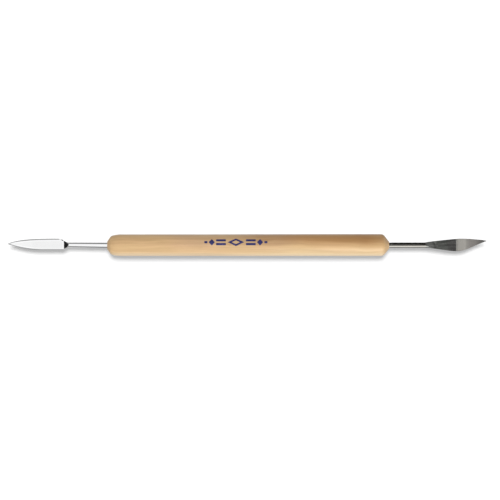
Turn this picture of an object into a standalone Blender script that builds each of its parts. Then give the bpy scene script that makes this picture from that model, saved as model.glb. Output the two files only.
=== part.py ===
"""Double-ended clay modelling tool.

A plain turned hardwood handle carries a leaf-shaped steel spatula at its -X end
and an offset steel lancet at its +X end. Each steel head is one solid: blade,
round shank and a hidden tang. The tangs sit in blind bores in the ends of the
handle, inside thin sleeves of cured adhesive.

Frame: metres. +X runs along the tool towards the lancet, and +Z is normal to
the broad faces of both blades. The origin is the middle of the overall length,
on the handle's axis. Left and right mean -X and +X. The lower and upper edges
of a blade are its -Y and +Y edges.
"""

import math

import bmesh
import bpy
from mathutils import Matrix

MM = 0.001

# ------------------------------------------------------------ driving sizes
OVERALL_LENGTH = 176.4 * MM  # tip to tip
HANDLE_LENGTH = 103.8 * MM
HANDLE_CENTRE_X = 0.35 * MM  # the handle sits a little towards the lancet
SHANK_RADIUS = 0.95 * MM  # of both heads where they enter the handle

TIP_X = OVERALL_LENGTH / 2
HANDLE_LEFT_X = HANDLE_CENTRE_X - HANDLE_LENGTH / 2
HANDLE_RIGHT_X = HANDLE_CENTRE_X + HANDLE_LENGTH / 2

HANDLE_SEGMENTS = 36
HEAD_SEGMENTS = 28  # round the heads and the sleeves


# ------------------------------------------------------------ scene helpers
def clear_scene():
    for obj in list(bpy.data.objects):
        bpy.data.objects.remove(obj, do_unlink=True)


def make_collection(name):
    made = bpy.data.collections.new(name)
    bpy.context.scene.collection.children.link(made)
    return made


def make_material(name, colour, roughness, metallic):
    mat = bpy.data.materials.new(name)
    mat.use_nodes = True
    shader = mat.node_tree.nodes["Principled BSDF"]
    shader.inputs["Base Color"].default_value = (*colour, 1.0)
    shader.inputs["Roughness"].default_value = roughness
    shader.inputs["Metallic"].default_value = metallic
    mat.diffuse_color = (*colour, 1.0)
    return mat


# ------------------------------------------------------------ curve helpers
def clamp(value):
    return max(0.0, min(1.0, value))


def share(value, start, end):
    """How far value has gone from start to end, held between 0 and 1."""
    return clamp((value - start) / (end - start))


def smooth(value):
    """Ease from 0 to 1, level at both ends."""
    value = clamp(value)
    return value * value * (3.0 - 2.0 * value)


def mix(start, end, amount):
    return start + (end - start) * amount


def spread(start, end, count, ease=1.0):
    """count places from start up to, and not including, end."""
    return [mix(start, end, (k / count) ** ease) for k in range(count)]


def bezier(controls, steps):
    """steps + 1 points along a cubic curve through four control points."""
    points = []
    for k in range(steps + 1):
        after = k / steps
        before = 1 - after
        weights = (
            before**3,
            3 * after * before**2,
            3 * after**2 * before,
            after**3,
        )
        points.append(
            tuple(
                sum(weight * point[axis] for weight, point in zip(weights, controls))
                for axis in (0, 1)
            )
        )
    return points


# ------------------------------------------------------------ solid helpers
def turned(name, profile, segments, mat, target, centre_x=0.0, flat_down=False):
    """A closed solid turned about the X axis.

    The profile is (x, radius) pairs running along the outside from the +X end
    to the -X end. One that starts off the axis is joined back to its start.
    flat_down puts a flat of the polygon at the bottom instead of a corner.
    """
    phase = math.pi / segments if flat_down else 0.0
    verts = [
        (radius * math.cos(phase), radius * math.sin(phase), x) for x, radius in profile
    ]
    edges = [(i, i + 1) for i in range(len(verts) - 1)]
    if profile[0][1] > 0.0:
        edges.append((len(verts) - 1, 0))
    mesh = bpy.data.meshes.new(name)
    mesh.from_pydata(verts, edges, [])
    mesh.materials.append(mat)
    obj = bpy.data.objects.new(name, mesh)
    target.objects.link(obj)
    screw = obj.modifiers.new("turn", "SCREW")
    screw.axis = "Z"
    screw.angle = math.tau
    screw.steps = segments
    screw.render_steps = segments
    screw.use_merge_vertices = True
    screw.merge_threshold = 0.00001
    screw.use_smooth_shade = True
    # turn the screw axis onto +X
    obj.matrix_world = Matrix.Translation((centre_x, 0.0, 0.0)) @ Matrix.Rotation(
        math.pi / 2, 4, "Y"
    )
    return obj


def loft(name, sections, start_point, end_point, mat, target):
    """A closed solid through rings of equal count, closed by a fan at each end.

    The rings run towards +X and turn from +Y to +Z.
    """
    bm = bmesh.new()
    rings = [[bm.verts.new(point) for point in ring] for ring in sections]
    first = bm.verts.new(start_point)
    last = bm.verts.new(end_point)
    count = len(rings[0])
    for ring, following in zip(rings, rings[1:]):
        for k in range(count):
            n = (k + 1) % count
            bm.faces.new((ring[k], ring[n], following[n], following[k]))
    for k in range(count):
        n = (k + 1) % count
        bm.faces.new((first, rings[0][n], rings[0][k]))
        bm.faces.new((last, rings[-1][k], rings[-1][n]))
    bmesh.ops.recalc_face_normals(bm, faces=bm.faces)
    mesh = bpy.data.meshes.new(name)
    bm.to_mesh(mesh)
    bm.free()
    mesh.materials.append(mat)
    mesh.shade_smooth()
    mesh.set_sharp_from_angle(angle=math.radians(30))
    obj = bpy.data.objects.new(name, mesh)
    target.objects.link(obj)
    return obj


# ------------------------------------------------------------------- handle
HANDLE_RADIUS = 4.0 * MM
LEFT_FACE_RADIUS = 1.55 * MM  # the small flat left at each end of the handle
RIGHT_FACE_RADIUS = 1.30 * MM
BORE_RADIUS = 1.13 * MM
BORE_DEPTH = 19.0 * MM
SHOULDER_RADIUS = 3.10 * MM  # where each nose's straight chamfer ends

# Control points of the nose curves: (distance in from the end face, radius),
# in the order the profile meets them.
RIGHT_NOSE = (  # a tight shoulder
    (1.40 * MM, SHOULDER_RADIUS),
    (1.85 * MM, 3.72 * MM),
    (2.35 * MM, HANDLE_RADIUS),
    (3.20 * MM, HANDLE_RADIUS),
)
LEFT_NOSE = (  # a longer, softer swell
    (4.90 * MM, HANDLE_RADIUS),
    (2.60 * MM, 3.93 * MM),
    (1.35 * MM, 3.47 * MM),
    (1.10 * MM, SHOULDER_RADIUS),
)
RIGHT_NOSE_STEPS = 5
LEFT_NOSE_STEPS = 6


def build_handle(mat, target):
    right = HANDLE_LENGTH / 2
    left = -right
    right_nose = [(right - inset, radius) for inset, radius in RIGHT_NOSE]
    left_nose = [(left + inset, radius) for inset, radius in LEFT_NOSE]
    profile = [
        (right - BORE_DEPTH, 0.0),
        (right - BORE_DEPTH, BORE_RADIUS),
        (right, BORE_RADIUS),
        (right, RIGHT_FACE_RADIUS),
        *bezier(right_nose, RIGHT_NOSE_STEPS),
        *bezier(left_nose, LEFT_NOSE_STEPS),
        (left, LEFT_FACE_RADIUS),
        (left, BORE_RADIUS),
        (left + BORE_DEPTH, BORE_RADIUS),
        (left + BORE_DEPTH, 0.0),
    ]
    return turned(
        "wooden_handle",
        profile,
        HANDLE_SEGMENTS,
        mat,
        target,
        centre_x=HANDLE_CENTRE_X,
        flat_down=True,
    )


# --------------------------------------------------------- adhesive sleeves
SLEEVE_INNER_RADIUS = 0.985 * MM
SLEEVE_OUTER_RADIUS = 1.09 * MM
SLEEVE_RECESS = 0.12 * MM  # the adhesive stops just below the handle's face
SLEEVE_DEPTH = 17.6 * MM  # its inner end, from the handle's face


def build_sleeve(name, x_low, x_high, mat, target):
    """A thin tube, open at both ends, in the gap round one tang."""
    profile = [
        (x_high, SLEEVE_INNER_RADIUS),
        (x_high, SLEEVE_OUTER_RADIUS),
        (x_low, SLEEVE_OUTER_RADIUS),
        (x_low, SLEEVE_INNER_RADIUS),
    ]
    return turned(name, profile, HEAD_SEGMENTS, mat, target)


# ---------------------------------------------------- sections of the heads
TANG_DEPTH = 18.0 * MM
TANG_CHAMFER = 0.25 * MM


def section(x, y_low, y_high, dome, edge_round, cap):
    """One cross-section of a steel head, from y_low to y_high.

    The surface rises from each edge along a rounding that takes the share
    edge_round of the half width, up to the height dome. Both sides are then
    cut down to no more than cap.
    """
    centre = (y_low + y_high) / 2
    half = (y_high - y_low) / 2
    ring = []
    for k in range(HEAD_SEGMENTS):
        angle = math.tau * k / HEAD_SEGMENTS
        across = math.cos(angle)
        side = math.sin(angle)
        over = max(0.0, abs(across) - (1.0 - edge_round)) / edge_round
        z = min(dome * math.sqrt(max(0.0, 1.0 - over * over)), cap)
        if abs(side) < 1e-9:  # the edge itself lies on the middle plane
            z = 0.0
        ring.append((x, centre + half * across, math.copysign(z, side)))
    return ring


def round_section(x, radius, y=0.0):
    return section(x, y - radius, y + radius, dome=radius, edge_round=1.0, cap=radius)


def tang_sections(face_x, inward):
    """A tang's rings from the handle's face inwards; inward is +1 or -1 along X."""
    end_x = face_x + inward * TANG_DEPTH
    return [
        round_section(face_x, SHANK_RADIUS),
        round_section(end_x - inward * TANG_CHAMFER, SHANK_RADIUS),
        round_section(end_x, SHANK_RADIUS - TANG_CHAMFER),
    ]


# ------------------------------------------------------------------ spatula
# Places and spans along the spatula are distances back from its tip.
SPATULA_LENGTH = 20.66 * MM  # tip to heel
SPATULA_SHANK_START = 22.95 * MM  # where the shank is round
SPATULA_NECK = 1.94 * MM  # the short steep ramp from the face up to the shank
NECK_RADIUS = 0.82 * MM
NECK_Y = 0.15 * MM  # the neck sits a little towards the upper edge

SPATULA_TIP_Y = 0.37 * MM
SPATULA_UPPER_Y = 2.27 * MM
SPATULA_SWELL = 0.12 * MM  # more that the upper edge rises towards the heel
SPATULA_LOWER_Y = -1.75 * MM
SPATULA_CORNER_Y = -1.22 * MM  # foot of the nearly square lower corner

UPPER_RUN = 12.6 * MM  # tip to the full height of each edge
LOWER_RUN = 12.2 * MM
UPPER_POWER = 1 / 1.7
SWELL_SPAN = (9.0 * MM, 17.0 * MM)
UPPER_HEEL_SPAN = (18.7 * MM, 22.65 * MM)  # the well rounded upper corner
CORNER_SPAN = (20.48 * MM, 20.70 * MM)
LOWER_HEEL_SPAN = (20.5 * MM, 22.4 * MM)

SPATULA_HALF_THICKNESS = 0.30 * MM
SPATULA_TIP_HALF_THICKNESS = 0.13 * MM
THICKENING_RUN = 9.0 * MM  # tip to full thickness
THICKENING_POWER = 0.8
SPATULA_EDGE_ROUND = 0.42 * MM
HEEL_EDGE_SHARE = 0.45  # edge rounding at the heel, as a share of half width
HEEL_DOME = 0.74 * MM
HEEL_START = SPATULA_LENGTH - 0.2 * MM  # the dome grows from here to the heel
HEEL_END = SPATULA_LENGTH + 0.1 * MM  # end of the closely spaced rings

SPATULA_STATIONS = (
    [0.06 * MM, 0.2 * MM]
    + spread(0.45 * MM, 10.0 * MM, 10, ease=1.15)
    + spread(10.0 * MM, UPPER_HEEL_SPAN[0], 3)
    + spread(UPPER_HEEL_SPAN[0], HEEL_START, 6)
    + spread(HEEL_START, HEEL_END, 4)
    + spread(HEEL_END, SPATULA_SHANK_START, 8)
)


def spatula_plan(back):
    """Lower and upper edge at the distance back from the tip."""
    rise = (1.0 - (1.0 - share(back, 0.0, UPPER_RUN)) ** 2) ** UPPER_POWER
    upper = mix(SPATULA_TIP_Y, SPATULA_UPPER_Y, rise)
    upper += SPATULA_SWELL * smooth(share(back, *SWELL_SPAN))
    fall = 1.0 - (1.0 - share(back, 0.0, LOWER_RUN)) ** 2
    lower = mix(SPATULA_TIP_Y, SPATULA_LOWER_Y, fall)
    lower = mix(lower, SPATULA_CORNER_Y, smooth(share(back, *CORNER_SPAN)))
    return (
        mix(lower, NECK_Y - NECK_RADIUS, smooth(share(back, *LOWER_HEEL_SPAN))),
        mix(upper, NECK_Y + NECK_RADIUS, smooth(share(back, *UPPER_HEEL_SPAN))),
    )


def spatula_section(back):
    low, high = spatula_plan(back)
    face = mix(
        SPATULA_TIP_HALF_THICKNESS,
        SPATULA_HALF_THICKNESS,
        share(back, 0.0, THICKENING_RUN) ** THICKENING_POWER,
    )
    neck = share(back, SPATULA_LENGTH, SPATULA_LENGTH + SPATULA_NECK)
    if back <= SPATULA_LENGTH:
        edge_round = min(1.0, SPATULA_EDGE_ROUND / ((high - low) / 2))
        dome = mix(face, HEEL_DOME, share(back, HEEL_START, SPATULA_LENGTH))
    else:
        edge_round = mix(HEEL_EDGE_SHARE, 1.0, smooth(share(neck, 0.35, 0.85)))
        dome = mix(HEEL_DOME, NECK_RADIUS, smooth(neck))
    cap = mix(face, NECK_RADIUS, neck)
    return section(back - TIP_X, low, high, dome, edge_round, cap)


def build_spatula(mat, target):
    rings = [spatula_section(back) for back in SPATULA_STATIONS]
    neck_x = SPATULA_SHANK_START - TIP_X
    # the shank tapers from the handle to the neck and drifts off the axis
    for along in (0.0, 0.5):
        x = mix(neck_x, HANDLE_LEFT_X, along)
        radius = mix(NECK_RADIUS, SHANK_RADIUS, along)
        rings.append(round_section(x, radius, y=mix(NECK_Y, 0.0, along)))
    rings += tang_sections(HANDLE_LEFT_X, inward=1)
    return loft(
        "spatula_head",
        rings,
        (-TIP_X, SPATULA_TIP_Y, 0.0),
        (HANDLE_LEFT_X + TANG_DEPTH, 0.0, 0.0),
        mat,
        target,
    )


# ------------------------------------------------------------------- lancet
LANCET_START_X = 64.8 * MM  # the shank starts to spread
LANCET_RAMP_X = LANCET_START_X + 0.55 * MM  # the long ramp starts to fall
LANCET_STEEP_END_X = LANCET_RAMP_X + 3.2 * MM  # end of the closer ramp rings
LANCET_CREASE_X = 76.96 * MM  # the ramp meets the flat of the blade
LANCET_BELLY_X = 77.30 * MM  # lowest place of the belly
LANCET_SPINE_X = LANCET_START_X + 13.1 * MM  # the upper edge is at full height
LANCET_DROP_X = 79.4 * MM  # the upper edge starts down to the tip

LANCET_TIP_Y = 1.60 * MM
LANCET_SPINE_Y = 2.43 * MM
LANCET_BELLY_Y = -2.20 * MM
LANCET_EDGE_POWER = 1.8  # bend of both edges towards the tip

LANCET_HALF_THICKNESS = 0.20 * MM
LANCET_TIP_HALF_THICKNESS = 0.10 * MM
# The ramp falls from the shank's radius to the blade in two parts added up.
RAMP_STRAIGHT_FALL = 0.33 * MM
RAMP_STEEP_FALL = SHANK_RADIUS - LANCET_HALF_THICKNESS - RAMP_STRAIGHT_FALL
RAMP_STEEP_POWER = 6
LANCET_DOME = 0.55 * MM
LANCET_EDGE_ROUND = 0.5 * MM
DOME_SINK_SPAN = (0.45, 0.95)  # shares of the ramp where the dome sinks to the cap

LANCET_STATIONS = (
    [LANCET_START_X]
    + spread(LANCET_RAMP_X, LANCET_STEEP_END_X, 7)
    + spread(LANCET_STEEP_END_X, LANCET_CREASE_X, 6)
    + spread(LANCET_CREASE_X, TIP_X - 0.9 * MM, 10)
    + [TIP_X - inset * MM for inset in (0.9, 0.5, 0.22, 0.07)]
)


def lancet_plan(x):
    """Lower and upper edge at the place x."""
    if x < LANCET_BELLY_X:
        spreading = share(x, LANCET_START_X, LANCET_BELLY_X)
        lower = mix(-SHANK_RADIUS, LANCET_BELLY_Y, smooth(spreading))
    else:
        closing = share(x, LANCET_BELLY_X, TIP_X)
        bend = 0.5 * closing**LANCET_EDGE_POWER + 0.5 * smooth(closing)
        lower = mix(LANCET_BELLY_Y, LANCET_TIP_Y, bend)
    climb = share(x, LANCET_START_X, LANCET_SPINE_X)
    rise = climb * (1.0 + 0.2 * (1.0 - climb)) * smooth(climb / 0.15)
    upper = mix(SHANK_RADIUS, LANCET_SPINE_Y, rise)
    drop = share(x, LANCET_DROP_X, TIP_X) ** LANCET_EDGE_POWER
    return lower, mix(upper, LANCET_TIP_Y, drop)


def lancet_section(x):
    low, high = lancet_plan(x)
    ramp = share(x, LANCET_RAMP_X, LANCET_CREASE_X)
    thinning = share(x, LANCET_CREASE_X, TIP_X) ** 2
    cap = (
        mix(LANCET_HALF_THICKNESS, LANCET_TIP_HALF_THICKNESS, thinning)
        + RAMP_STEEP_FALL * (1.0 - ramp) ** RAMP_STEEP_POWER
        + RAMP_STRAIGHT_FALL * (1.0 - ramp)
    )
    dome = mix(SHANK_RADIUS, LANCET_DOME, smooth(ramp * 2.2))
    if ramp > DOME_SINK_SPAN[0]:
        sink = smooth(share(ramp, *DOME_SINK_SPAN))
        dome = min(dome, mix(LANCET_DOME, cap, sink))
    blade_round = min(1.0, LANCET_EDGE_ROUND / ((high - low) / 2))
    edge_round = mix(1.0, blade_round, smooth(ramp * 1.25))
    return section(x, low, high, dome, edge_round, cap)


def build_lancet(mat, target):
    rings = tang_sections(HANDLE_RIGHT_X, inward=-1)[::-1]
    rings += [lancet_section(x) for x in LANCET_STATIONS]
    return loft(
        "lancet_head",
        rings,
        (HANDLE_RIGHT_X - TANG_DEPTH, 0.0, 0.0),
        (TIP_X, LANCET_TIP_Y, 0.0),
        mat,
        target,
    )


# ----------------------------------------------------------------- assembly
clear_scene()
tool = make_collection("clay_modeling_tool")

wood = make_material(
    "pale_hardwood", colour=(0.62, 0.42, 0.23), roughness=0.5, metallic=0.0
)
spatula_steel = make_material(
    "polished_steel", colour=(0.72, 0.72, 0.73), roughness=0.18, metallic=1.0
)
lancet_steel = make_material(
    "ground_steel", colour=(0.50, 0.49, 0.47), roughness=0.28, metallic=1.0
)
adhesive = make_material(
    "cured_adhesive", colour=(0.36, 0.22, 0.09), roughness=0.35, metallic=0.0
)

build_handle(wood, tool)
build_spatula(spatula_steel, tool)
build_lancet(lancet_steel, tool)
build_sleeve(
    "adhesive_sleeve_left",
    HANDLE_LEFT_X + SLEEVE_RECESS,
    HANDLE_LEFT_X + SLEEVE_DEPTH,
    adhesive,
    tool,
)
build_sleeve(
    "adhesive_sleeve_right",
    HANDLE_RIGHT_X - SLEEVE_DEPTH,
    HANDLE_RIGHT_X - SLEEVE_RECESS,
    adhesive,
    tool,
)
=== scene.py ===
"""A double-ended clay modelling tool: a turned wooden handle with a steel leaf
(the spatula) at its -X end and an oblique steel blade (the lancet) at +X.

The tool lies along X with the handle's axis at the origin's height, the blades
flat in XY and +Z up. Shapes are worked out in millimetres and built in metres.
"""

import math

import bmesh
import bpy
import numpy as np
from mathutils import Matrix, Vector


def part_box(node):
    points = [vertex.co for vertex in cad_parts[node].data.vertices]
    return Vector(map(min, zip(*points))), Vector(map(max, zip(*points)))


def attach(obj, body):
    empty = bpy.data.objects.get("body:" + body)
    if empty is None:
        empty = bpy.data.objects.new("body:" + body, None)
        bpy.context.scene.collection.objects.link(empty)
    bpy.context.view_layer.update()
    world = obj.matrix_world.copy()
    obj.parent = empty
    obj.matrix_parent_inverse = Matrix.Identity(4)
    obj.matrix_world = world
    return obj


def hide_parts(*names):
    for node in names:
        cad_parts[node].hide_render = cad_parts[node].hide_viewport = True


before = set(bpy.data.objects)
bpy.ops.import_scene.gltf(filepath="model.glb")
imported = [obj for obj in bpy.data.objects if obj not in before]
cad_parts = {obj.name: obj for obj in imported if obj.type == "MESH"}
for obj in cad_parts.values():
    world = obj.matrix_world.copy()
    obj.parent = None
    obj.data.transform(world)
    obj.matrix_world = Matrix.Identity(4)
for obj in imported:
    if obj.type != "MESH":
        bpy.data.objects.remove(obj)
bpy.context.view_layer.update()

MM = 0.001

# Driving dimensions, in millimetres; lengths along X come from the CAD parts
handle_low, handle_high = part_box("wooden_handle")
spatula_low, spatula_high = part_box("spatula_head")
lancet_low, lancet_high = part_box("lancet_head")
HANDLE_L, HANDLE_R = handle_low.x / MM, handle_high.x / MM
TIP_L, TIP_R = spatula_low.x / MM, lancet_high.x / MM
TANG_L, TANG_R = spatula_high.x / MM, lancet_low.x / MM  # ends inside the handle
RADIUS = 4.0  # of the handle, the true round that the CAD's flats stand for
SHANK = 0.95  # radius of both steel shanks


# ---------------------------------------------------------------- small maths
def ramp(value, start=0.0, length=1.0):
    """0 up to start, then straight up to 1 over length."""
    return max(0.0, min(1.0, (value - start) / length))


def ease(value, start=0.0, length=1.0):
    """The ramp with both of its corners smoothed."""
    t = ramp(value, start, length)
    return t * t * (3.0 - 2.0 * t)


def mix(a, b, t):
    return a + (b - a) * t


def spread(start, end, count):
    """count even steps from start, leaving out end itself."""
    return [mix(start, end, k / count) for k in range(count)]


def spread_spans(bounds, counts):
    """Stations through consecutive spans, each with its own count."""
    stations = []
    for start, end, count in zip(bounds, bounds[1:], counts):
        stations += spread(start, end, count)
    return stations


def soft_min(a, b, crease):
    """The lower of two heights, with the crease between them eased."""
    low, high = (a, b) if a < b else (b, a)
    return low - crease * math.log1p(math.exp(-(high - low) / crease))


def soft_max(a, b, crease):
    return -soft_min(-a, -b, crease)


# -------------------------------------------------------------------- meshes
def link_object(name, mesh):
    obj = bpy.data.objects.new(name, mesh)
    bpy.context.scene.collection.objects.link(obj)
    return obj


def signed_volume(mesh):
    """Six times the volume, negative where the faces look inward."""
    mesh.calc_loop_triangles()
    places = np.array([v.co for v in mesh.vertices])
    corners = np.array([t.vertices for t in mesh.loop_triangles])
    first, second, third = (places[corners[:, i]] for i in range(3))
    return np.einsum("ij,ij->i", first, np.cross(second, third)).sum()


def ring_mesh(name, rings, start=None, end=None, closed=False, attributes=None):
    """A closed skin through rings (count, sides, 3) in millimetres. start and
    end are points that close it; closed joins the last ring to the first."""
    rings = np.asarray(rings, float)
    count, sides = rings.shape[:2]
    verts = rings.reshape(-1, 3)
    faces = []
    for i in range(count if closed else count - 1):
        here, beyond = i * sides, ((i + 1) % count) * sides
        for k in range(sides):
            q = (k + 1) % sides
            faces.append((here + k, here + q, beyond + q, beyond + k))
    if start is not None:
        hub = len(verts)
        verts = np.vstack([verts, start])
        faces += [(hub, (k + 1) % sides, k) for k in range(sides)]
    if end is not None:
        hub = len(verts)
        verts = np.vstack([verts, end])
        base = (count - 1) * sides
        faces += [(hub, base + k, base + (k + 1) % sides) for k in range(sides)]
    mesh = bpy.data.meshes.new(name)
    mesh.from_pydata((verts * MM).tolist(), [], faces)
    for key, values in (attributes or {}).items():
        values = np.asarray(values, np.float32).ravel()
        values = np.concatenate([values, np.zeros(len(verts) - len(values), np.float32)])
        mesh.attributes.new(key, "FLOAT", "POINT").data.foreach_set("value", values)
    mesh.validate()
    mesh.update()
    if signed_volume(mesh) < 0:
        mesh.flip_normals()
    mesh.shade_smooth()
    return link_object(name, mesh)


def round_ring(sides, place):
    """A ring about X. place(angle) gives x and the radius, with the angle
    running from +Y to +Z."""
    ring = []
    for k in range(sides):
        angle = math.tau * k / sides
        x, radius = place(angle)
        ring.append((x, radius * math.cos(angle), radius * math.sin(angle)))
    return ring


def eased_corners(points, reaches, steps=4):
    """The polyline with each inner corner replaced by a short curve that
    starts and ends the given reach from it."""
    out = [points[0]]
    for before, corner, after, reach in zip(points, points[1:], points[2:], reaches):
        before, corner, after = (np.array(p, float) for p in (before, corner, after))
        ends = []
        for neighbour in (before, after):
            length = np.linalg.norm(neighbour - corner)
            ends.append(corner + (neighbour - corner) / length * min(reach, 0.45 * length))
        for i in range(steps + 1):
            t = i / steps
            out.append(
                tuple((1 - t) ** 2 * ends[0] + 2 * t * (1 - t) * corner + t * t * ends[1])
            )
    out.append(points[-1])
    return out


def bezier(controls, count):
    """count points along a cubic curve, leaving out its first."""
    out = []
    for k in range(1, count + 1):
        t = k / count
        weights = ((1 - t) ** 3, 3 * t * (1 - t) ** 2, 3 * t * t * (1 - t), t**3)
        out.append(tuple(sum(w * p[i] for w, p in zip(weights, controls)) for i in (0, 1)))
    return out


# ------------------------------------------------------------------- handle
HANDLE_SIDES = 176
BORE_R, BORE_DEPTH = 1.13, 19.0  # a blind bore in each end takes the tang
CONE_R = 3.10  # where each nose's cone meets its rounded shoulder
CONE_LENGTH_L, CONE_LENGTH_R = 1.10, 1.40
FACE_R_L, FACE_R_R = 1.55, 1.30  # radius of the flat end faces
SHOULDER_L, SHOULDER_R = 4.9, 3.2  # from the end to the full radius


def handle_profile():
    """(x, radius) from the bottom of the +X bore, over the outside, to the
    bottom of the -X bore."""
    left, right = HANDLE_L, HANDLE_R
    cone_left, cone_right = (left + CONE_LENGTH_L, CONE_R), (right - CONE_LENGTH_R, CONE_R)
    full_left, full_right = left + SHOULDER_L, right - SHOULDER_R
    nose_right = [
        (right - BORE_DEPTH, 0.0),
        (right - BORE_DEPTH, BORE_R),
        (right, BORE_R),
        (right, FACE_R_R),
        cone_right,
    ]
    nose_left = [
        cone_left,
        (left, FACE_R_L),
        (left, BORE_R),
        (left + BORE_DEPTH, BORE_R),
        (left + BORE_DEPTH, 0.0),
    ]
    shoulder_right = [
        cone_right, (right - 1.85, 3.72), (right - 2.35, RADIUS), (full_right, RADIUS),
    ]
    shoulder_left = [
        (full_left, RADIUS), (left + 2.6, 3.93), (left + 1.35, 3.47), cone_left,
    ]
    profile = eased_corners(nose_right, reaches=(0.1, 0.05, 0.10))
    profile += bezier(shoulder_right, 14)
    profile += [(x, RADIUS) for x in spread(full_right, full_left, 110)[1:]]
    profile.append((full_left, RADIUS))
    profile += bezier(shoulder_left, 16)[:-1]
    profile += eased_corners(nose_left, reaches=(0.12, 0.05, 0.1))
    return profile


def handle_wobble(x, angle):
    """Hand-sanding leaves the dowel a few hundredths off a true cylinder, and
    a shade fuller on its +Y side towards the lancet."""
    ripple = 0.006 * (
        math.sin(0.21 * x + 1.3 + math.sin(angle + 0.4))
        + 0.7 * math.sin(0.57 * x + 2.1 * math.sin(angle + 2.2))
        + 0.5 * math.sin(2 * angle + 0.13 * x)
    )
    fuller = 0.10 * ramp(x, start=-24.0, length=70.0) * max(math.cos(angle), 0.0) ** 2
    # both die away at the handle's ends
    return (ripple + fuller) * ease(min(x - HANDLE_L, HANDLE_R - x), 0.05, 3.0)


def build_handle():
    profile = handle_profile()
    rings = []
    for x, radius in profile[1:-1]:
        outside = radius > 2.0  # the bores and end faces stay true
        rings.append(round_ring(
            HANDLE_SIDES,
            lambda angle: (x, radius + (handle_wobble(x, angle) if outside else 0.0)),
        ))
    return ring_mesh("handle", rings, (profile[0][0], 0, 0), (profile[-1][0], 0, 0))


handle = build_handle()

# ------------------------------------------------------------ adhesive rings
GLUE_SIDES, GLUE_STEPS = 72, 7  # points round, and steps across the mouth
GLUE_INNER, GLUE_OUTER = 0.97, 1.115  # radii
GLUE_START, GLUE_DEPTH = 2.0, 17.6  # plain sleeve, from and to, below the end face


def adhesive_ring(name, mouth, inward):
    """Cured adhesive: a sleeve round the tang whose mouth sags to a shallow,
    slightly uneven meniscus between the steel and the wood. inward is the
    sign of X that leads into the handle."""

    def meniscus(t):
        sag = 0.13 - 0.10 * (2 * t - 1) ** 2

        def place(angle):
            uneven = 0.02 * math.sin(3 * angle + 1.0) + 0.015 * math.sin(5 * angle + 2.0)
            return mouth + inward * (sag + 0.06 + uneven), mix(GLUE_INNER, GLUE_OUTER, t)

        return place

    rings = [round_ring(GLUE_SIDES, meniscus(i / GLUE_STEPS)) for i in range(GLUE_STEPS + 1)]
    for depth, radius in (
        (GLUE_START, GLUE_OUTER),
        (GLUE_DEPTH, GLUE_OUTER),
        (GLUE_DEPTH, GLUE_INNER),
        (GLUE_START, GLUE_INNER),
    ):
        rings.append(round_ring(GLUE_SIDES, lambda angle: (mouth + inward * depth, radius)))
    return ring_mesh(name, rings, closed=True)


glue_left = adhesive_ring("adhesive_left", HANDLE_L, inward=1)
glue_right = adhesive_ring("adhesive_right", HANDLE_R, inward=-1)

# ------------------------------------------------------------- printed mark
# Figures are loops of (x, arc), with arc running round the handle from +Z to +Y.
MARK_X, MARK_ARC = -4.15, 1.12  # middle of the mark
INK_TOP, INK_BOTTOM = 0.018, -0.03  # heights above and below the wood
BAR_NEAR, BAR_FAR, BAR_OFFSET = 3.65, 7.3, 0.72
DASH_NEAR, DASH_FAR = 10.4, 11.6
BAR_HALF = 0.42  # half width of the bars and dashes
LOZENGE_AWAY = 8.85


def loop_rhombus(centre_x, centre_arc, half_x, half_arc, per_side=10):
    corners = [(half_x, 0), (0, half_arc), (-half_x, 0), (0, -half_arc)]
    out = []
    for i in range(4):
        a, b = corners[i], corners[(i + 1) % 4]
        for k in range(per_side):
            t = k / per_side
            out.append((centre_x + mix(a[0], b[0], t), centre_arc + mix(a[1], b[1], t)))
    return out


def loop_bar(x0, x1, centre_arc, half, count=12):
    """A bar with slightly rounded ends: count points a side, 5 round each end."""
    bulge = half * 0.4
    low, high = x0 + bulge, x1 - bulge
    out = []
    for start, end, side in ((low, high, -1), (high, low, 1)):
        for k in range(count):
            out.append((mix(start, end, k / (count - 1)), centre_arc + side * half))
        for k in range(1, 6):
            angle = side * math.pi / 2 + math.pi * k / 6
            out.append((end + bulge * math.cos(angle), centre_arc + half * math.sin(angle)))
    return out


def mark_figures():
    """(inner, outer) loops: an open lozenge, and on each side of it two bars,
    a dash and a small lozenge. Filled figures have no inner loop."""
    figures = [(
        loop_rhombus(MARK_X, MARK_ARC, half_x=1.50, half_arc=0.72),
        loop_rhombus(MARK_X, MARK_ARC, half_x=3.05, half_arc=1.46),
    )]
    for side in (-1, 1):
        for near, far, offset in (
            (BAR_NEAR, BAR_FAR, -BAR_OFFSET),
            (BAR_NEAR, BAR_FAR, BAR_OFFSET),
            (DASH_NEAR, DASH_FAR, 0.0),
        ):
            x0, x1 = sorted((MARK_X + side * near, MARK_X + side * far))
            figures.append((None, loop_bar(x0, x1, MARK_ARC + offset, BAR_HALF)))
        lozenge_x = MARK_X + side * LOZENGE_AWAY
        figures.append((None, loop_rhombus(lozenge_x, MARK_ARC, half_x=1.15, half_arc=1.25)))
    return figures


def on_handle(x, arc, lift):
    """A point lift above the sanded wood."""
    angle = arc / RADIUS
    radius = RADIUS + lift + handle_wobble(x, math.pi / 2 - angle)
    return (x, radius * math.sin(angle), radius * math.cos(angle))


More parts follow.
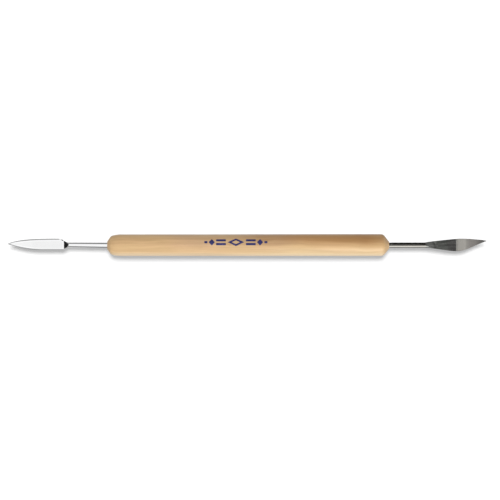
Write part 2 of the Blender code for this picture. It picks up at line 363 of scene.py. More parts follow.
def add_figure(verts, faces, inner, outer):
    """Adds one thin closed skin: three loops on top, the same three below,
    and for a filled figure a middle point in each layer."""
    count, base = len(outer), len(verts)
    heart = None
    if inner is None:
        heart = tuple(sum(p[i] for p in outer) / count for i in (0, 1))
        inner = [(mix(heart[0], p[0], 0.5), mix(heart[1], p[1], 0.5)) for p in outer]
    middle = [(mix(a[0], b[0], 0.5), mix(a[1], b[1], 0.5)) for a, b in zip(inner, outer)]
    for lift in (INK_TOP, INK_BOTTOM):
        for loop in (inner, middle, outer):
            verts += [on_handle(x, arc, lift) for x, arc in loop]
    under = 3 * count  # from a top point to the one below it
    rim = base + 2 * count
    for k in range(count):
        q = (k + 1) % count
        for j in (0, 1):
            a, b = base + j * count, base + (j + 1) * count
            faces.append((a + k, b + k, b + q, a + q))
            a, b = a + under, b + under
            faces.append((a + k, a + q, b + q, b + k))
        faces.append((rim + k, rim + under + k, rim + under + q, rim + q))
        if heart is None:
            faces.append((base + k, base + q, base + under + q, base + under + k))
    if heart is not None:
        hub = len(verts)
        verts += [on_handle(*heart, INK_TOP), on_handle(*heart, INK_BOTTOM)]
        for k in range(count):
            q = (k + 1) % count
            faces.append((hub, base + k, base + q))
            faces.append((hub + 1, base + under + q, base + under + k))


def build_mark():
    verts, faces = [], []
    for inner, outer in mark_figures():
        add_figure(verts, faces, inner, outer)
    mesh = bpy.data.meshes.new("ink_mark")
    mesh.from_pydata([tuple(c * MM for c in v) for v in verts], [], faces)
    mesh.validate()
    bm = bmesh.new()
    bm.from_mesh(mesh)
    bmesh.ops.recalc_face_normals(bm, faces=bm.faces)
    bm.to_mesh(mesh)
    bm.free()
    mesh.shade_smooth()
    mesh.set_sharp_from_angle(angle=math.radians(40))
    return link_object("ink_mark", mesh)


ink_mark = build_mark()

# -------------------------------------------------------------- steel heads
HEAD_SIDES = 128


class Skin:
    """Cross-sections collected along a head, with the attributes the steel
    needs: the place across (-1 to 1), along (from x_zero) and in from the edge."""

    def __init__(self, x_zero):
        self.x_zero = x_zero
        self.rings = []
        self.attributes = {"across": [], "along": [], "edge": []}

    def add(self, x, low, high, height_at):
        """A section from y = low to high. height_at(u, inset) is its half
        thickness at u across, inset from the nearer edge."""
        centre, half = (low + high) / 2, (high - low) / 2
        ring, across, edge = [], [], []
        for k in range(HEAD_SIDES):
            angle = math.tau * k / HEAD_SIDES
            u, side = math.cos(angle), math.sin(angle)
            inset = (1.0 - abs(u)) * half
            z = 0.0 if abs(side) < 1e-9 else max(1e-4, height_at(u, inset))
            ring.append((x, centre + half * u, math.copysign(z, side)))
            across.append(u)
            edge.append(inset)
        self.rings.append(ring)
        self.attributes["across"].append(across)
        self.attributes["along"].append([x - self.x_zero] * HEAD_SIDES)
        self.attributes["edge"].append(edge)

    def add_round(self, x, radius, y=0.0):
        self.add(
            x, y - radius, y + radius,
            lambda u, inset: radius * math.sqrt(max(0.0, 1.0 - u * u)),
        )

    def finish(self, name, start, end):
        return ring_mesh(name, self.rings, start, end, attributes=self.attributes)


TANG_BEVEL = 0.25  # at the tangs' inner ends
TANG_FIT = 6.0  # first tang section, in from the handle's end

# The spatula: a flat leaf with its arris ground off, then a short ramp up to the
# crown of a round neck, which widens and comes down to the handle's axis.
# Places along it are measured from its point.
SPAT_TIP_Y = 0.37
NECK_R, NECK_Y = 0.82, 0.15
SPAT_FILLET, SPAT_RAMP, SPAT_CREST, SPAT_ROUND = 20.04, 20.68, 22.60, 22.95
SPAT_FACE, SPAT_TIP = 0.30, 0.13  # half thickness of the leaf and at its point
SPAT_FIRST = [0.02, 0.05, 0.09, 0.15, 0.22]
SPAT_BOUNDS = [0.3, 2.0, 10.0, 18.7, 19.9, 20.3, 21.0, SPAT_ROUND]
SPAT_COUNTS = [14, 34, 20, 10, 8, 28, 30]


def spatula_plan(s):
    """The leaf's -Y and +Y edges, s from the point."""
    rise = (1.0 - (1.0 - ramp(s, 0.0, 12.6)) ** 2) ** (1 / 1.7)
    upper = mix(SPAT_TIP_Y, 2.27, rise) + 0.12 * ease(s, 9.0, 8.0)
    fall = 1.0 - (1.0 - ramp(s, 0.0, 12.2)) ** 2
    lower = mix(SPAT_TIP_Y, -1.75, fall)
    # a quick step in on the -Y side, then both edges draw in to the neck
    lower = mix(lower, -1.26, ease(s, 20.50, 0.22))
    return (
        mix(lower, NECK_Y - NECK_R, ease(s, 20.55, 1.85)),
        mix(upper, NECK_Y + NECK_R, ease(s, 19.0, 3.25)),
    )


def spatula_face(s):
    """Height of the flat and then of the ramp, down the middle."""
    flat = mix(SPAT_TIP, SPAT_FACE, ramp(s, 0.0, 9.0) ** 0.8)
    fillet = 0.079 * max(0.0, min(s, SPAT_RAMP) - SPAT_FILLET) ** 2
    foot = flat + fillet
    if s <= SPAT_RAMP - 0.4:
        return foot
    slope = (NECK_R + 0.02 - foot) * (s - SPAT_RAMP) / (SPAT_CREST - SPAT_RAMP)
    return soft_max(foot, foot + slope, crease=0.006)


def spatula_section(s, half):
    face = spatula_face(s)
    # the ground arris: its width, its depth, and how much is left on the +Y side
    arris = min(0.34, 0.50 * half)
    drop = min(0.24, 0.78 * face)
    shoulder = 1.0 - 0.75 * ease(s, 18.2, 1.8)
    # the face dips slightly over this width inside the arris
    rim = min(0.55, 0.40 * half)
    dip = 0.030 * rim / 0.55
    # the neck's crown, squarish at first on each side and round by the crest
    neck = ease(s, 20.54, 0.18)
    dome = mix(0.84, NECK_R, ease(s, 20.6, 1.9))
    power_high = mix(4.4, 2.0, ease(s, 21.35, 1.0))
    power_low = mix(6.5, 2.0, ease(s, 21.25, 1.1))

    def height_at(u, inset):
        if inset < arris:
            cut = drop * (shoulder if u > 0 else 1.0)
            blade = face - dip - cut * (1.0 - inset / arris)
        else:
            blade = face - dip * max(0.0, 1.0 - (inset - arris) / rim)
        if neck <= 0.0:
            return blade
        power = power_high if u > 0 else power_low
        crown = dome * max(0.0, 1.0 - abs(u) ** power) ** (1 / power)
        return mix(blade, soft_min(crown, face, crease=0.010), neck)

    return height_at


def build_spatula():
    skin = Skin(x_zero=TIP_L)
    for s in SPAT_FIRST + spread_spans(SPAT_BOUNDS, SPAT_COUNTS):
        low, high = spatula_plan(s)
        skin.add(TIP_L + s, low, high, spatula_section(s, (high - low) / 2))
    neck_x = TIP_L + SPAT_ROUND
    for x in spread(neck_x, HANDLE_L, 40):
        t = (x - neck_x) / (HANDLE_L - neck_x)
        skin.add_round(x, mix(NECK_R, SHANK, t), y=mix(NECK_Y, -0.02, t))
    for x in (HANDLE_L, HANDLE_L + TANG_FIT, TANG_L - TANG_BEVEL):
        skin.add_round(x, SHANK)
    skin.add_round(TANG_L, SHANK - TANG_BEVEL)
    return skin.finish("spatula", (TIP_L, SPAT_TIP_Y, 0), (TANG_L, 0, 0))


# The lancet: the round shank is struck flat in a long wedge that opens from a
# point on its crown, falls to a crease, and runs on level to the oblique point.
LAN_START, LAN_CREASE, LAN_BELLY = 64.8, 76.96, 77.30
LAN_WEDGE = LAN_START + 0.63  # where the wedge opens
LAN_FACE, LAN_TIP = 0.20, 0.13  # half thickness past the crease and at the point
LAN_TIP_Y, LAN_BELLY_Y = 1.60, -2.20
LAN_BOUNDS = [
    LAN_START - 0.6, LAN_WEDGE - 0.2, LAN_WEDGE + 3.6,
    LAN_CREASE - 0.4, LAN_CREASE + 0.4, TIP_R - 1.0, TIP_R - 0.02,
]
LAN_COUNTS = [8, 64, 36, 16, 46, 16]


def lancet_plan(x):
    """The -Y and +Y edges of the shank and blade."""
    if x < LAN_BELLY:
        lower = mix(-SHANK, LAN_BELLY_Y, ease(x, LAN_START, LAN_BELLY - LAN_START))
    else:
        t = ramp(x, LAN_BELLY, TIP_R - LAN_BELLY)
        lower = mix(LAN_BELLY_Y, LAN_TIP_Y, 0.5 * t**1.8 + 0.5 * ease(t))
    t = ramp(x, LAN_START, 13.1)
    rise = t * (1.0 + 0.2 * (1.0 - t)) * ease(t, 0.0, 0.15)
    upper = mix(SHANK + 0.05 * ease(x, HANDLE_R, 1.5), 2.43, rise)
    upper = mix(upper, LAN_TIP_Y, ramp(x, 79.4, TIP_R - 79.4) ** 1.8)
    blunt = 0.16 * ease(x, 84.0, 3.0)  # keeps some width at the point
    return lower - blunt * 0.6, upper + blunt * 0.4


def lancet_section(x, half):
    # the struck face: a straight fall, and a quicker one where the wedge opens
    t = (x - LAN_WEDGE) / (LAN_CREASE - LAN_WEDGE)
    fall = 0.33 * (1.0 - t) + 0.42 * (1.0 - ease(x, LAN_WEDGE + 0.07, 3.7))
    if x >= LAN_CREASE + 0.5:
        fall = 0.0
    flat = LAN_FACE - (LAN_FACE - LAN_TIP) * ramp(x, 80.4, TIP_R - 80.4)
    cap = soft_max(flat + fall, flat, crease=0.0016)
    lean = 0.24 * (1.0 - ease(x, LAN_WEDGE, 4.2))  # the face's slope down to +Y
    # the shank's round: its height, and the share of the half width it takes
    share = mix(1.0, 0.22, ease(x, LAN_WEDGE, 3.1))
    dome = mix(SHANK + 0.025, 0.75, ease(x, LAN_WEDGE + 2.6, 3.0))
    # further on, a plain slab with a narrow eased edge
    edge = min(0.05, 0.3 * half)
    slab = ease(x, LAN_WEDGE + 2.6, 1.6)

    def height_at(u, inset):
        over = max(0.0, abs(u) - (1.0 - share)) / share
        body = dome * math.sqrt(max(0.0, 1.0 - over * over))
        top = cap - lean * (half * u)
        z = soft_min(body, top, crease=0.012)
        if slab > 0.0:
            corner = 0.03 * max(0.0, 1.0 - inset / edge) ** 2
            z = mix(z, top - corner, slab)
        return z

    return height_at


def build_lancet():
    skin = Skin(x_zero=LAN_START)
    skin.add_round(TANG_R, SHANK - TANG_BEVEL)
    for x in (TANG_R + TANG_BEVEL, HANDLE_R - TANG_FIT):
        skin.add_round(x, SHANK)
    for x in spread(HANDLE_R, LAN_START - 0.6, 24):
        low, high = lancet_plan(x)
        skin.add_round(x, (high - low) / 2, y=(low + high) / 2)
    for x in spread_spans(LAN_BOUNDS, LAN_COUNTS):
        low, high = lancet_plan(x)
        skin.add(x, low, high, lancet_section(x, (high - low) / 2))
    return skin.finish("lancet", (TANG_R, 0, 0), (TIP_R, LAN_TIP_Y, 0))


spatula = build_spatula()
lancet = build_lancet()


# ------------------------------------------------------- node-tree shorthand
class Val:
    """A node socket that takes arithmetic."""

    def __init__(self, tree, socket):
        self.tree, self.socket = tree, socket

    def _math(self, operation, *others):
        node = self.tree.nodes.new("ShaderNodeMath")
        node.operation = operation
        for value, socket in zip((self, *others), node.inputs):
            if isinstance(value, Val):
                self.tree.links.new(value.socket, socket)
            else:
                socket.default_value = value
        return Val(self.tree, node.outputs[0])

    def __add__(self, other):
        return self._math("ADD", other)

    __radd__ = __add__

    def __sub__(self, other):
        return self._math("SUBTRACT", other)

    def __rsub__(self, other):
        return (self * -1.0) + other

    def __mul__(self, other):
        return self._math("MULTIPLY", other)

    __rmul__ = __mul__

    def abs(self):
        return self._math("ABSOLUTE")

    def max(self, other):
        return self._math("MAXIMUM", other)

    def pow(self, other):
        return self._math("POWER", other)

    def sin(self):
        return self._math("SINE")

    def degrees_of_sine(self):
        return self._math("ARCSINE") * (180 / math.pi)

    def step(self, off, on):
        """Eased from 0 at off to 1 at on, and level beyond. on may be the lower."""
        node = self.tree.nodes.new("ShaderNodeMapRange")
        node.interpolation_type = "SMOOTHSTEP"
        self.tree.links.new(self.socket, node.inputs["Value"])
        node.inputs["From Min"].default_value = min(off, on)
        node.inputs["From Max"].default_value = max(off, on)
        node.inputs["To Min"].default_value = 0.0 if on >= off else 1.0
        node.inputs["To Max"].default_value = 1.0 if on >= off else 0.0
        return Val(self.tree, node.outputs["Result"])


class Shading:
    """The emptied node tree of a material or world, and the nodes it is given."""

    def __init__(self, owner):
        owner.use_nodes = True
        self.tree = owner.node_tree
        self.tree.nodes.clear()

    def node(self, kind):
        return self.tree.nodes.new("ShaderNode" + kind)

    def feed(self, value, socket):
        """Links a Val or socket; sets a number or an (r, g, b)."""
        if isinstance(value, Val):
            value = value.socket
        if isinstance(value, bpy.types.NodeSocket):
            self.tree.links.new(value, socket)
        else:
            socket.default_value = (*value, 1.0) if isinstance(value, tuple) else value

    def val(self, node, output):
        return Val(self.tree, node.outputs[output])

    def separate(self, kind, output):
        """The x, y and z of an output of a new node."""
        node = self.node("SeparateXYZ")
        self.feed(self.node(kind).outputs[output], node.inputs[0])
        return [self.val(node, i) for i in range(3)]

    def object_mm(self):
        """The place on the object, in millimetres."""
        x, y, z = self.separate("TexCoord", "Object")
        return x * 1000.0, y * 1000.0, z * 1000.0

    def combine(self, *values):
        node = self.node("CombineXYZ")
        for value, socket in zip(values, node.inputs):
            self.feed(value, socket)
        return node.outputs[0]

    def attribute(self, name):
        node = self.node("Attribute")
        node.attribute_name = name
        return self.val(node, "Fac")

    def noise(self, place, scale, detail=3.0, rough=0.55, shift_y=None):
        """Noise over place, with a scale for each of its axes."""
        x, y, z = (axis * factor for axis, factor in zip(place, scale))
        if shift_y is not None:
            y = y + shift_y
        node = self.node("TexNoise")
        self.feed(self.combine(x, y, z), node.inputs["Vector"])
        self.feed(1.0, node.inputs["Scale"])
        self.feed(detail, node.inputs["Detail"])
        self.feed(rough, node.inputs["Roughness"])
        return self.val(node, "Fac")

    def blend(self, colour, over, amount, mode="MIX"):
        node = self.node("Mix")
        node.data_type = "RGBA"
        node.blend_type = mode
        node.clamp_factor = True
        for i, value in ((0, amount), (6, colour), (7, over)):
            self.feed(value, node.inputs[i])
        return node.outputs[2]

    def ramp(self, value, stops):
        """Colours through stops of (position, (r, g, b))."""
        node = self.node("ValToRGB")
        self.feed(value, node.inputs[0])
        elements = node.color_ramp.elements
        while len(elements) < len(stops):
            elements.new(0.5)
        for element, (position, colour) in zip(elements, stops):
            element.position = position
            element.color = (*colour, 1.0)
        return node.outputs[0]

    def bump(self, height, distance, strength):
        """Relief; distance is in metres."""
        node = self.node("Bump")
        self.feed(strength, node.inputs["Strength"])
        self.feed(distance, node.inputs["Distance"])
        self.feed(height, node.inputs["Height"])
        return node.outputs[0]

    def shader(self, kind, inputs):
        node = self.node(kind)
        for name, value in inputs.items():
            self.feed(value, node.inputs[name])
        return node.outputs[0]

    def finish(self, shader, output="OutputMaterial"):
        self.feed(shader, self.node(output).inputs[0])


def new_material(name):
    mat = bpy.data.materials.new(name)
    return mat, Shading(mat)


# ------------------------------------------------------------------ materials
def wood_zones(sh, colour, x, y, gy, wander):
    """The stretches of the handle that differ in colour, with painted shade on its +Y flank
    and painted light on its -Y flank.
    """

    def drift(axis, amount):
        """The axis, wandering so that the zone's border does too."""
        return axis + wander * amount

    # painted shade: the +Y flank is darkened and browned towards the lancet's end, where the
    # lamps light it least
    heart = drift(x, 30.0).step(-14.0, 20.0) * (gy - 0.2).step(-2.2, 2.6)
    heart = heart * (1.0 - x.step(43.0, 51.5) * 0.45)
    colour = sh.blend(colour, over=(0.67, 0.535, 0.40), amount=heart, mode="MULTIPLY")
    # and painted light pales the -Y flank of the same end, where the key light falls on it
    painted_light_flank = drift(x, 30.0).step(-10.0, 24.0) * y.step(-0.6, -3.2)
    colour = sh.blend(colour, over=(0.78, 0.61, 0.38), amount=painted_light_flank * 0.25)
    # a duller length along the +Y side, where the stick has been held
    held = drift(x, 16.0).step(-34.0, -20.0) * drift(x, 16.0).step(20.0, 9.0)
    held = held * drift(y, 1.2).step(-2.6, 1.0)
    colour = sh.blend(colour, over=(0.885, 0.870, 0.935), amount=held, mode="MULTIPLY")
    # one browner grain line runs along the crown, mostly to the -X end
    line = drift(x, 10.0).step(-40.0, -31.0) * drift(x, 10.0).step(-11.0, -17.0)
    line = line * drift(y, 0.8).step(-1.3, -0.1) * drift(y, 0.8).step(1.2, 0.3)
    colour = sh.blend(colour, over=(0.905, 0.875, 0.875), amount=line, mode="MULTIPLY")
    # painted light from the white floor: the strip at the -Y side is pale all the way along
    painted_pale_strip = drift(y, 0.8).step(-2.3, -3.7)
    return sh.blend(colour, over=(0.77, 0.62, 0.43), amount=painted_pale_strip * 0.46)


def wood_material():
    mat, sh = new_material("handle_wood")
    x, y, z = sh.object_mm()

    # slow wander that bends every grain line a little
    wander = sh.noise((x, y, z), scale=(0.035, 0.10, 0.10), detail=2.0) - 0.5
    gy = y + wander * 3.2
    gz = z + wander * 2.4
    grain = (x, gy, gz)

    broad = sh.noise(grain, scale=(0.016, 0.22, 0.22))
    streak = sh.noise(grain, scale=(0.028, 1.3, 1.3), detail=4.0, rough=0.6)
    fibre = sh.noise(grain, scale=(0.10, 7.0, 7.0), rough=0.65)
    # growth rings, cut nearly flat-sawn
    ring_at = gy * 0.62 + gz * 0.46 + 0.6 * (streak - 0.5)
    ring = ((ring_at * 4.1).sin() * 0.5 + 0.5).pow(2.2)
    # short, dark pores that run with the grain
    pore = sh.noise(grain, scale=(0.55, 9.0, 9.0), detail=1.0, rough=0.4)
    pore = pore.step(0.66, 0.78)

    colour = sh.ramp(
        broad * 0.55 + streak * 0.35 + fibre * 0.10,
        stops=[
            (0.30, (0.455, 0.278, 0.120)),
            (0.44, (0.580, 0.376, 0.182)),
            (0.54, (0.665, 0.448, 0.225)),
            (0.68, (0.730, 0.518, 0.275)),
        ],
    )
    # pinker and yellower patches drift along the stick
    patch = sh.noise((x, y, z), scale=(0.05, 0.16, 0.16), detail=1.5, shift_y=7.0)
    pinker, yellower = patch.step(0.48, 0.66), patch.step(0.46, 0.32)
    colour = sh.blend(colour, over=(0.74, 0.45, 0.26), amount=pinker * 0.18)
    colour = sh.blend(colour, over=(0.68, 0.49, 0.21), amount=yellower * 0.25)
    colour = sh.blend(colour, over=(0.50, 0.30, 0.14), amount=ring * 0.22)
    colour = sh.blend(colour, over=(0.32, 0.175, 0.08), amount=pore * 0.30)
    colour = wood_zones(sh, colour, x, y, gy, wander)

    # end grain on the noses: more orange, dotted with open pores
    normal_x = sh.separate("NewGeometry", "Normal")[0]
    end = normal_x.abs().step(0.25, 0.72)
    dots = sh.noise((x, y, z), scale=(0.8, 5.5, 5.5), detail=2.0, rough=0.5)
    end_colour = sh.ramp(
        dots,
        stops=[
            (0.34, (0.44, 0.240, 0.095)),
            (0.50, (0.68, 0.440, 0.205)),
            (0.66, (0.80, 0.560, 0.290)),
        ],
    )
    height = fibre * 0.5 + streak * 0.3 - pore * 0.9
    sh.finish(sh.shader("BsdfPrincipled", {
        "Base Color": sh.blend(colour, over=end_colour, amount=end * 0.50),
        "Roughness": 0.46 + (fibre - 0.5) * 0.25 + end * 0.16,
        "Specular IOR Level": 0.3,
        "Coat Weight": 0.35,
        "Coat Roughness": 0.42,
        "Coat IOR": 1.5,
        # sanding leaves a faint fuzz that pales the flanks
        "Sheen Weight": 0.22,
        "Sheen Roughness": 0.45,
        "Sheen Tint": (0.92, 0.97, 1.0),
        "Normal": sh.bump(height, distance=0.00003, strength=0.8),
    }))
    return mat


def spatula_colour(sh, place, along, across, smudge, hair):
    """The leaf's colour with painted shade on its arris, and its roughness before smudges.
    """
    x, y, z = place
    # drawn marks, slanting a little over the leaf near its point
    slant = sh.noise(
        (x + y * 2.2, y - x * 0.12, z), scale=(0.55, 2.6, 2.0), detail=2.0, rough=0.6
    )
    marks = along.step(9.5, 4.0) * slant.step(0.50, 0.66)
    colour = sh.ramp(
        smudge * 0.6 + hair * 0.4,
        stops=[(0.35, (0.825, 0.827, 0.83)), (0.65, (0.855, 0.857, 0.86))],
    )
    colour = sh.blend(colour, over=(0.74, 0.742, 0.745), amount=marks * 0.5)
    # painted shade: the ground arris is painted darker than the face, most of all round the
    # point and on the -Y side, where it reflects the dim surroundings
    edge = sh.attribute("edge")
    lower_side = (across * -1.0).step(0.0, 0.3)
    near_point = along.step(13.0, 7.0)
    painted_shade = edge.step(0.50, 0.13) * (near_point * 0.8 + lower_side * 0.70 + 0.20)
    painted_shade = painted_shade * along.step(19.8, 18.2).max(lower_side * along.step(20.6, 20.2))
    return sh.blend(colour, over=(0.31, 0.312, 0.316), amount=painted_shade * 0.8), 0.055


def lancet_colour(sh, along, smudge, hair, coarse):
    """The blade's colour, with a painted reflection on the wedge and painted shade towards
    the point, and its roughness before smudges.
    """
    on_wedge = along.step(12.45, 12.15) * along.step(0.4, 1.6)
    base = sh.ramp(
        coarse * 0.4 + smudge * 0.4 + hair * 0.2,
        stops=[(0.35, (0.68, 0.655, 0.60)), (0.65, (0.775, 0.745, 0.685))],
    )
    # painted reflection: the wedge is painted dark between its grind marks, standing in for
    # the dark surroundings it reflects
    painted_dark_wedge = sh.ramp(
        (hair * 0.35 + coarse * 0.65).step(0.38, 0.62),
        stops=[
            (0.0, (0.26, 0.275, 0.250)),
            (0.5, (0.44, 0.455, 0.42)),
            (1.0, (0.74, 0.75, 0.71)),
        ],
    )
    # past the crease it is warmer, and painted shade darkens it in soft bands towards the
    # point
    warm, painted_shade = along.step(15.5, 17.2), along.step(19.0, 21.8)
    base = sh.blend(base, over=(0.50, 0.45, 0.44), amount=warm * 0.35)
    base = sh.blend(base, over=(0.34, 0.335, 0.33), amount=painted_shade * 0.60)
    # the wedge's far end is tinted, and its painted dark reflection is paler where the ramp
    # runs out of the shank
    tinted, thin = along.step(8.4, 9.6), along.step(5.4, 2.4)
    painted_dark_wedge = sh.blend(painted_dark_wedge, over=(0.40, 0.34, 0.37), amount=tinted * 0.30)
    painted_dark_wedge = sh.blend(painted_dark_wedge, over=(0.85, 0.86, 0.82), amount=thin * 0.5)
    return sh.blend(base, over=painted_dark_wedge, amount=on_wedge), 0.06 + on_wedge * 0.05


def steel_material(name, is_spatula):
    mat, sh = new_material(name)
    x, y, z = sh.object_mm()
    across, along = sh.attribute("across"), sh.attribute("along")

    smudge = sh.noise((x, y, z), scale=(0.22, 0.5, 0.5), rough=0.6)
    # hair lines left by the abrasive, following the steel's own width so that
    # they fan out with it
    fan = (x, across, z)
    hair = sh.noise(fan, scale=(0.35, 26.0, 3.0), rough=0.7)
    coarse = sh.noise(fan, scale=(0.14, 5.5, 2.0), detail=2.0, rough=0.6)

    if is_spatula:
        colour, rough = spatula_colour(sh, (x, y, z), along, across, smudge, hair)
        height = hair * 0.6 + coarse * 0.4
        depth = 0.0000006
    else:
        colour, rough = lancet_colour(sh, along, smudge, hair, coarse)
        height = hair * 0.5 + coarse * 0.5
        depth = 0.0000009
    sh.finish(sh.shader("BsdfPrincipled", {
        "Metallic": 1.0,
        "Base Color": colour,
        "Roughness": rough + (smudge - 0.5) * 0.04 + (hair - 0.5) * 0.03,
        "Normal": sh.bump(height, distance=depth, strength=1.0),
    }))
    return mat


def adhesive_material():
    mat, sh = new_material("cured_adhesive")
    cloud = sh.noise(sh.object_mm(), scale=(1.5, 1.5, 1.5))
    amber = [(0.3, (0.16, 0.075, 0.025)), (0.7, (0.34, 0.19, 0.075))]
    sh.finish(sh.shader("BsdfPrincipled", {
        "Base Color": sh.ramp(cloud, stops=amber),
        "Roughness": 0.28 + (cloud - 0.5) * 0.3,
        "Normal": sh.bump(cloud, distance=0.00002, strength=0.6),
    }))
    return mat


def ink_material():
    """Navy stamping ink, thin where the grain stands up and worn through in
    small flecks along it."""
    mat, sh = new_material("stamping_ink")
    place = sh.object_mm()
    fibre = sh.noise(place, scale=(0.9, 7.0, 7.0), rough=0.6)
    cloud = sh.noise(place, scale=(0.8, 1.6, 1.6), detail=2.0, rough=0.5)
    navy = [(0.35, (0.009, 0.011, 0.075)), (0.65, (0.022, 0.026, 0.150))]
    worn = (fibre * 0.6 + cloud * 0.4).step(0.56, 0.72)
    colour = sh.blend(
        sh.ramp(cloud, stops=navy), over=(0.50, 0.33, 0.18), amount=worn * 0.5
    )
    sh.finish(sh.shader("BsdfPrincipled", {
        "Base Color": colour,
        "Roughness": 0.42 + (fibre - 0.5) * 0.3,
        "Normal": sh.bump(fibre, distance=0.00002, strength=0.6),
    }))
    return mat


wood = wood_material()
ink = ink_material()
spatula_steel = steel_material("spatula_steel", is_spatula=True)
lancet_steel = steel_material("lancet_steel", is_spatula=False)
adhesive = adhesive_material()

for obj, mat, node, slot in (
    (handle, wood, "wooden_handle", "handle_wood"),
    (spatula, spatula_steel, "spatula_head", "spatula_steel"),
    (lancet, lancet_steel, "lancet_head", "lancet_steel"),
    (glue_left, adhesive, "adhesive_sleeve_left", "adhesive"),
    (glue_right, adhesive, "adhesive_sleeve_right", "adhesive"),
):
    obj.data.materials.append(mat)
    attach(obj, "root")
    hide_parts(node)

ink_mark.data.materials.append(ink)
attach(ink_mark, "root")

wood_pieces = [handle, glue_left, glue_right, ink_mark]

# the tool throws its shadow on the floor but doesn't tint it
for obj in wood_pieces + [spatula, lancet]:
    obj.visible_diffuse = False

# --------------------------------------------------------------------- floor
FLOOR_SIZE = 16.0  # metres
FLOOR_GAP = 0.00003  # metres below the handle
LOW_GLOW = 0.22  # brightness of the dim table that polished steel sees


def floor_material():
    """A pale card under the handle; the steel, beyond it, sees the dim table."""
    mat, sh = new_material("floor_white")
    x, y, _ = sh.object_mm()
    path = sh.node("LightPath")
    dim = sh.val(path, "Is Glossy Ray") * x.abs().step(48.0, 53.0)
    # it throws less light back than it shows
    grey = 0.46 + sh.val(path, "Is Camera Ray") * 0.40
    card = sh.shader("BsdfPrincipled", {
        "Roughness": 1.0,
        "Specular IOR Level": 0.0,
        "Base Color": sh.combine(grey, grey, grey),
    })
    # the table is darkest on the +Y side of the lancet's end
    far_side = x.step(40.0, 50.0) * y.step(-0.4, 0.8)
    table = sh.shader("Emission", {
        "Color": (1.0, 1.0, 1.0),
        "Strength": (1.0 - far_side * 0.88) * LOW_GLOW,
    })
    blend = sh.node("MixShader")
    for value, socket in zip((dim, card, table), blend.inputs):
        sh.feed(value, socket)
    sh.finish(blend.outputs[0])
    return mat


bpy.ops.mesh.primitive_plane_add(size=FLOOR_SIZE, location=(0, 0, -RADIUS * MM - FLOOR_GAP))
floor = bpy.context.object
floor.name = "floor"
floor.data.materials.append(floor_material())

scene = bpy.context.scene
scene.view_settings.view_transform = "Standard"
scene.view_settings.look = "None"
scene.view_settings.exposure = 0.0
scene.view_settings.gamma = 1.0


# -------------------------------------------------------------------- lights
def group(name, objects):
    made = bpy.data.collections.new(name)
    scene.collection.children.link(made)
    for obj in objects:
        made.objects.link(obj)
    return made


def leaning(degrees):
    """Direction leaning from straight up towards +Y."""
    return Vector((0.0, math.tan(math.radians(degrees)), 1.0))


def add_light(name, kind, energy, direction, receivers, glossy):
    """A light that shines from direction, on the receivers only."""
    light = bpy.data.lights.new(name, kind)
    light.energy = energy
    obj = link_object(name, light)
    obj.rotation_mode = "QUATERNION"
    obj.rotation_quaternion = direction.to_track_quat("Z", "Y")
    obj.visible_glossy = glossy
    obj.light_linking.receiver_collection = receivers
    return obj


def add_disk(name, energy, lean, target, distance, size, glossy, colour=(1, 1, 1)):
    """A disk for the wood, facing target. Lengths are in metres."""
    direction = leaning(lean).normalized()
    obj = add_light(name, "AREA", energy, direction, only_wood, glossy)
    obj.location = Vector(target) + direction * distance
    obj.visible_camera = False
    obj.data.shape = "DISK"
    obj.data.size = size
    obj.data.color = colour


only_floor = group("lit_floor", [floor])
only_wood = group("lit_wood", wood_pieces)

# throws the soft shadow on the -Y side, evenly over the whole floor
sun = add_light(
    "shadow_key", "SUN", energy=2.44, direction=leaning(18.9),
    receivers=only_floor, glossy=False,
)
sun.data.angle = math.radians(25)
# models the handle from its -Y side, a little stronger at its +X end
add_disk(
    "wood_key", energy=0.68, lean=-52, target=(0.12, 0, 0), distance=0.35, size=0.25,
    glossy=True, colour=(0.92, 0.985, 1.0),
)
add_disk(
    "wood_fill", energy=0.72, lean=2, target=(-0.05, 0, 0), distance=0.40, size=0.30,
    glossy=False,
)


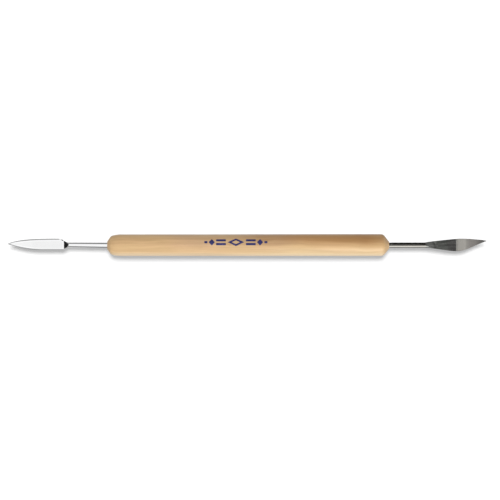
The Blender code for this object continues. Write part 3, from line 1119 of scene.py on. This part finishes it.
# ---------------------------------------------------------------------- world
def steel_surroundings(wx, wy, up):
    """What polished steel sees: a bright tent overhead and a dim table below."""
    lean_x = wx.degrees_of_sine()
    under = lean_x.step(-1.0, 1.5) * 0.18 + 0.18  # how far the tent tips with y
    tent = (up - wy * under).step(0.28, 0.70) * (1.04 - LOW_GLOW) + LOW_GLOW
    # a little brighter towards -X
    hot = lean_x.step(-7.5, -10.0) * 0.07 + lean_x.step(0.0, -4.0) * (
        wy.abs().step(0.04, 0.10) * 0.07
    )
    # the fabric falls off towards +X in two folds, and recovers low down
    dimmed = lean_x.step(5.6, 6.3) * 0.47 + lean_x.step(7.2, 8.6) * 0.43
    dimmed = dimmed - lean_x.step(12.0, 24.0) * 0.08
    fold = 1.0 - dimmed * lean_x.step(62.0, 34.0)
    # an opening just +X of overhead, which reaches further on the +Y side, and
    # another well over to -X
    top_gap = lean_x.step(-1.0, 2.0) * (
        lean_x.step(6.3, 5.7) * wy.step(-0.56, -0.40)
    ).max(lean_x.step(10.5, 9.2) * wy.step(0.10, 0.22))
    left_gap = lean_x.step(-20.0, -26.0) * lean_x.step(-58.0, -44.0)
    shine = (tent + hot) * fold * (1.0 - (top_gap * 0.92).max(left_gap * 0.985))
    # the studio's end walls, low down, which only a view from the side picks up
    walls = wx.abs().step(0.22, 0.50) * up.step(0.74, 0.52)
    wall_light = up.step(-0.10, 0.50) * 0.55 + 0.32
    return shine + walls * (wall_light - shine).max(0.0)


def build_world():
    """White to the camera, the tent to glossy rays, and a soft ambient light
    that is weaker from +Y to all others."""
    world = bpy.data.worlds.new("studio")
    scene.world = world
    sh = Shading(world)
    wx, wy, up = sh.separate("TexCoord", "Generated")
    path = sh.node("LightPath")
    camera_ray = sh.val(path, "Is Camera Ray")
    glossy_ray = sh.val(path, "Is Glossy Ray")
    shine = steel_surroundings(wx, wy, up)
    ambient = 0.598 - wy.step(-0.2, 0.9) * 0.17
    level = glossy_ray * shine + (1.0 - glossy_ray) * ambient
    level = camera_ray * 1.0 + (1.0 - camera_ray) * level
    background = sh.shader("Background", {"Color": (1.0, 1.0, 1.0), "Strength": level})
    sh.finish(background, output="OutputWorld")


build_world()

# --------------------------------------------------------------------- camera
VIEW_WIDTH = 184.35  # millimetres across the frame at the tool's axis
VIEW_X, VIEW_Y = 1.013925, -1.762386  # millimetres, middle of the view

# it looks straight down
camera_data = bpy.data.cameras.new("camera")
camera_data.type = "PERSP"
camera_data.sensor_width = 36.0
camera_data.lens = 135.0
camera_data.clip_start, camera_data.clip_end = 0.01, 50.0
camera = link_object("camera", camera_data)
camera_height = VIEW_WIDTH * MM * camera_data.lens / camera_data.sensor_width
camera.location = (VIEW_X * MM, VIEW_Y * MM, camera_height)
scene.camera = camera
